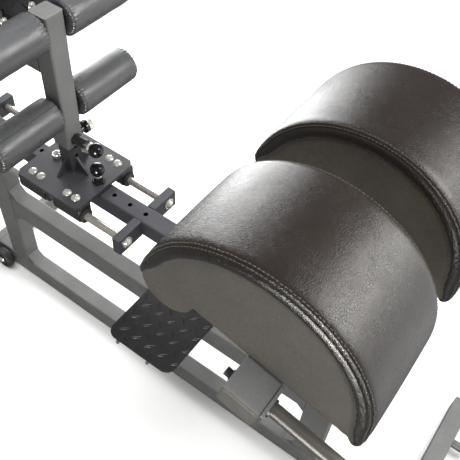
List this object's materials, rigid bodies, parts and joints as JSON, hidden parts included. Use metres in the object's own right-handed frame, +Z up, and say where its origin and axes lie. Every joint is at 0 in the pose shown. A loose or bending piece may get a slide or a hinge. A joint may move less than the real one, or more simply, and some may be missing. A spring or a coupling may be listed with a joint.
{
  "type": "glute ham bench",
  "caption": "Glute-ham bench with half-round thigh pads, a foot carriage that slides on rails, and ankle rollers on a height-adjustable post.",
  "frame": {"origin": "on the floor, midway along and across the outer box", "axes": "+X from the feet towards the pads and handles, +Z up"},
  "size_m": [1.644, 0.812, 1.25],
  "materials": {
    "frame_paint": "satin powder coat",
    "carriage_paint": "satin powder coat",
    "handle_paint": "satin",
    "tread_paint": "textured powder coat",
    "chrome": "polished",
    "steel": "ground",
    "black_steel": "black oxide",
    "block_plastic": "moulded",
    "cap_plastic": "moulded",
    "knob_plastic": "polished",
    "rubber": "moulded",
    "pad_leather": "pebbled",
    "roller_vinyl": "smooth vinyl",
    "core_plastic": "extruded",
    "plywood": "sanded"
  },
  "bodies": {
    "root": {"base_tube": "frame_paint", "rear_foot_tube": "frame_paint", "front_foot_tube": "frame_paint", "foot_end_caps": "cap_plastic", "rubber_feet": "rubber", "band_pegs": "frame_paint", "rear_leg": "frame_paint", "front_upright": "frame_paint", "main_beam": "frame_paint", "carriage_beam": "carriage_paint", "tube_end_caps": "cap_plastic", "rail_brackets": "carriage_paint", "left_rail": "chrome", "right_rail": "chrome", "rail_bolts": "chrome", "step_plate": "tread_paint", "frame_gussets": "frame_paint", "head_plate": "frame_paint", "pad_cross_tube": "frame_paint", "pad_plates": "frame_paint", "pad_boards": "plywood", "left_pad": "pad_leather", "right_pad": "pad_leather", "pad_bolts": "steel", "left_handle": "handle_paint", "right_handle": "handle_paint", "handle_flanges": "frame_paint", "flange_bolts": "black_steel", "wheel_bolts": "chrome"},
    "carriage": {"carriage_plate": "carriage_paint", "bearing_blocks": "block_plastic", "block_seals": "rubber", "carriage_bolts": "chrome", "post_stub": "carriage_paint", "stop_bolt": "chrome", "index_barrel": "black_steel"},
    "index_plunger": {"index_pin": "steel", "index_knob": "knob_plastic"},
    "foot_carrier": {"foot_post": "frame_paint", "post_collar": "frame_paint", "post_bush": "block_plastic", "post_arm": "frame_paint", "foot_plate": "tread_paint", "foot_plate_bolts": "chrome", "post_barrel": "black_steel", "roller_axles": "steel", "axle_caps": "chrome"},
    "post_plunger": {"post_pin": "steel", "post_knob": "knob_plastic"},
    "clamp": {"clamp_knob": "chrome"},
    "upper_left_spin": {"upper_left_core": "core_plastic", "upper_left_roller": "roller_vinyl"},
    "upper_right_spin": {"upper_right_core": "core_plastic", "upper_right_roller": "roller_vinyl"},
    "lower_left_spin": {"lower_left_core": "core_plastic", "lower_left_roller": "roller_vinyl"},
    "lower_right_spin": {"lower_right_core": "core_plastic", "lower_right_roller": "roller_vinyl"},
    "left_wheel_spin": {"left_wheel": "rubber"},
    "right_wheel_spin": {"right_wheel": "rubber"}
  },
  "joints": [
    {"name": "carriage_slide", "type": "slide", "parent": "root", "child": "carriage", "axis": [1, 0, 0], "range_m": [-0.2, 0.1]},
    {"name": "index_pin_pull", "type": "slide", "parent": "carriage", "child": "index_plunger", "axis": [0, 0, 1], "range_m": [0, 0.014], "stiffness_N_per_m": 900, "springref_m": -0.006},
    {"name": "foot_post_slide", "type": "slide", "parent": "carriage", "child": "foot_carrier", "axis": [0, 0, 1], "range_m": [0, 0.18]},
    {"name": "post_pin_pull", "type": "slide", "parent": "foot_carrier", "child": "post_plunger", "axis": [1, 0, 0], "range_m": [0, 0.014], "stiffness_N_per_m": 900, "springref_m": -0.006},
    {"name": "clamp_turn", "type": "hinge", "parent": "foot_carrier", "child": "clamp", "pos_m": [-0.35, 0.04, 0.792], "axis": [0, 1, 0], "range_deg": [-180, 0]},
    {"name": "upper_left_spin_turn", "type": "hinge", "parent": "foot_carrier", "child": "upper_left_spin", "pos_m": [-0.358, 0.123, 1.097], "axis": [0, 1, 0], "continuous": true},
    {"name": "upper_right_spin_turn", "type": "hinge", "parent": "foot_carrier", "child": "upper_right_spin", "pos_m": [-0.358, -0.123, 1.097], "axis": [0, 1, 0], "continuous": true},
    {"name": "lower_left_spin_turn", "type": "hinge", "parent": "foot_carrier", "child": "lower_left_spin", "pos_m": [-0.358, 0.123, 0.882], "axis": [0, 1, 0], "continuous": true},
    {"name": "lower_right_spin_turn", "type": "hinge", "parent": "foot_carrier", "child": "lower_right_spin", "pos_m": [-0.358, -0.123, 0.882], "axis": [0, 1, 0], "continuous": true},
    {"name": "left_wheel_spin_turn", "type": "hinge", "parent": "root", "child": "left_wheel_spin", "pos_m": [-0.748, 0.0465, 0.038], "axis": [0, 1, 0], "continuous": true},
    {"name": "right_wheel_spin_turn", "type": "hinge", "parent": "root", "child": "right_wheel_spin", "pos_m": [-0.748, -0.0465, 0.038], "axis": [0, 1, 0], "continuous": true}
  ]
}
